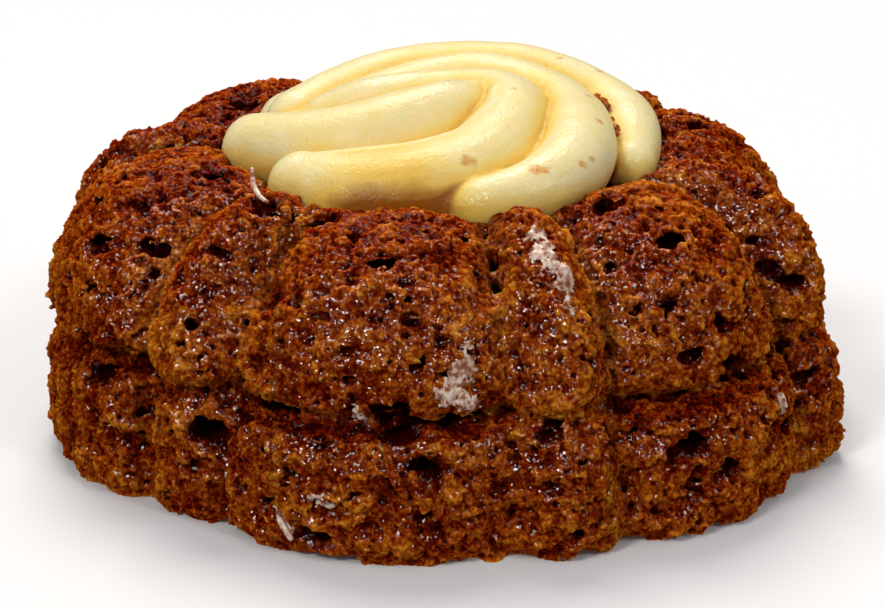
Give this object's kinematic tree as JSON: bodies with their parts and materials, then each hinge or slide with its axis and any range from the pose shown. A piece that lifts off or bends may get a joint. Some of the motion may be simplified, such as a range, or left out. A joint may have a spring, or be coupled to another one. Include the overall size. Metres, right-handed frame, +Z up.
{
  "type": "mini fluted lava cake with cream swirl",
  "caption": "Small round two-tier fluted sponge cake, soaked in syrup, with a pale swirl of cream piped into its dished top.",
  "frame": {"origin": "middle of the flat base, on the surface the cake stands on", "axes": "+Z up through the cream; the cake's front is towards -Y and +X is to the right seen from the front"},
  "size_m": [0.1, 0.0992, 0.0448],
  "materials": {
    "sponge": "dark amber-brown open-crumbed sponge, sticky and wet with syrup",
    "butter_cream": "pale yellow satin cream, piped"
  },
  "bodies": {
    "root": {"cake": "sponge", "cream": "butter_cream"}
  },
  "joints": []
}
